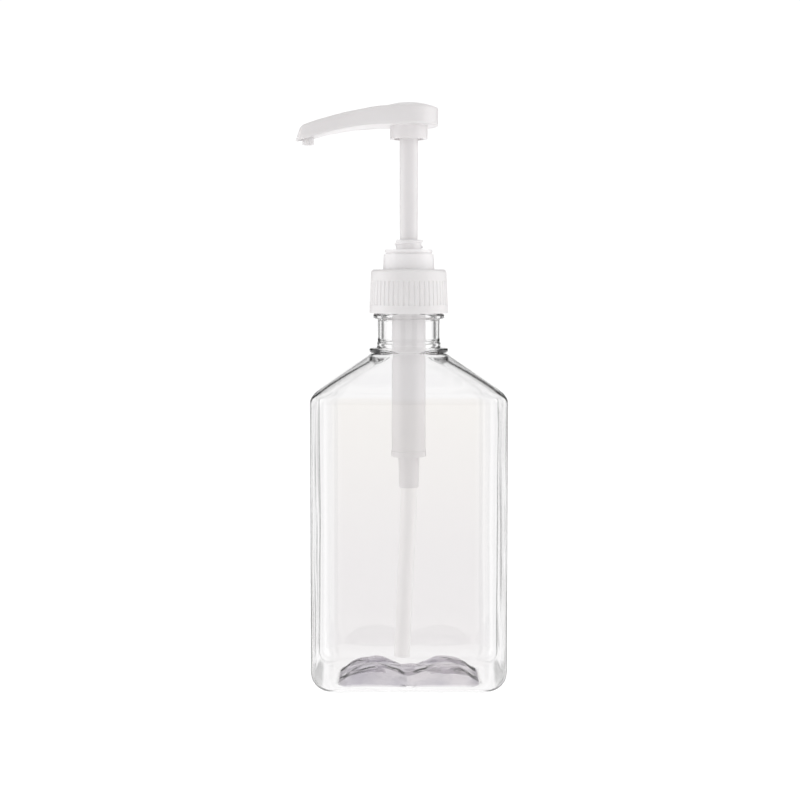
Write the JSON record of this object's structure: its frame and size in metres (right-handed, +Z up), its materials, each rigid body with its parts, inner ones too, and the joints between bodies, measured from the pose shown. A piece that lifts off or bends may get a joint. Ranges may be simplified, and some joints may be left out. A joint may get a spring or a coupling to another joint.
{
  "type": "condiment pump dispenser",
  "caption": "Clear flask-shaped sauce bottle with a screw-on lock-down pump, long curved spout and dip tube.",
  "frame": {"origin": "centre of the bottle's standing face, on the surface it stands on", "axes": "+Z up along the pump's axis, front face of the bottle towards -Y, spout pointing along -X"},
  "size_m": [0.1031, 0.064, 0.285],
  "materials": {
    "clear_pet": "clear blown PET, glossy",
    "white_ribbed_cap": "white moulded PP, satin gloss",
    "white_pp": "white moulded PP, satin gloss",
    "natural_pp": "milky natural PP, slightly see-through",
    "dip_tube_pe": "milky extruded PE tube",
    "soft_seal": "soft white LDPE",
    "steel_ball": "polished stainless ball",
    "spring_wire": "drawn stainless spring wire"
  },
  "bodies": {
    "bottle_body": {"bottle": "clear_pet"},
    "gasket_ring": {"neck_gasket": "soft_seal"},
    "pump_body": {"pump_cylinder": "natural_pp", "inlet_valve_body": "natural_pp", "ball_cage": "natural_pp", "return_spring": "spring_wire", "dip_tube": "dip_tube_pe", "lock_collar": "white_pp", "stem_guide": "white_pp", "stem_wiper": "soft_seal"},
    "closure_cap": {"closure": "white_ribbed_cap"},
    "piston_seal": {"piston": "soft_seal"},
    "plunger": {"piston_rod": "white_pp", "outlet_valve_cage": "natural_pp", "stem": "white_pp", "head_cover": "white_pp", "head_base": "white_pp"},
    "inlet_check": {"inlet_ball": "steel_ball"},
    "outlet_check": {"outlet_ball": "steel_ball"}
  },
  "joints": [
    {"name": "pump_lift", "type": "slide", "parent": "bottle_body", "child": "gasket_ring", "axis": [0, 0, 1], "range_m": [0, 0.2]},
    {"name": "unscrew_rise", "type": "slide", "parent": "gasket_ring", "child": "pump_body", "axis": [0, 0, 1], "range_m": [0, 0.0053]},
    {"name": "closure_turn", "type": "hinge", "parent": "pump_body", "child": "closure_cap", "pos_m": [0, 0, 0.193], "axis": [0, 0, 1], "range_deg": [0, 450]},
    {"name": "plunger_stroke", "type": "slide", "parent": "pump_body", "child": "piston_seal", "axis": [0, 0, -1], "range_m": [0, 0.0485], "stiffness_N_per_m": 312, "springref_m": -0.032, "deforming": ["return_spring"]},
    {"name": "head_swivel", "type": "hinge", "parent": "piston_seal", "child": "plunger", "pos_m": [0, 0, 0.23], "axis": [0, 0, 1], "continuous": true},
    {"name": "inlet_ball_lift", "type": "slide", "parent": "pump_body", "child": "inlet_check", "axis": [0, 0, 1], "range_m": [0, 0.002]},
    {"name": "outlet_ball_lift", "type": "slide", "parent": "plunger", "child": "outlet_check", "axis": [0, 0, 1], "range_m": [0, 0.0015]}
  ],
  "couplings": [
    {"joint": "unscrew_rise", "follows": "closure_turn", "m_per_rad": 0.00067375}
  ]
}
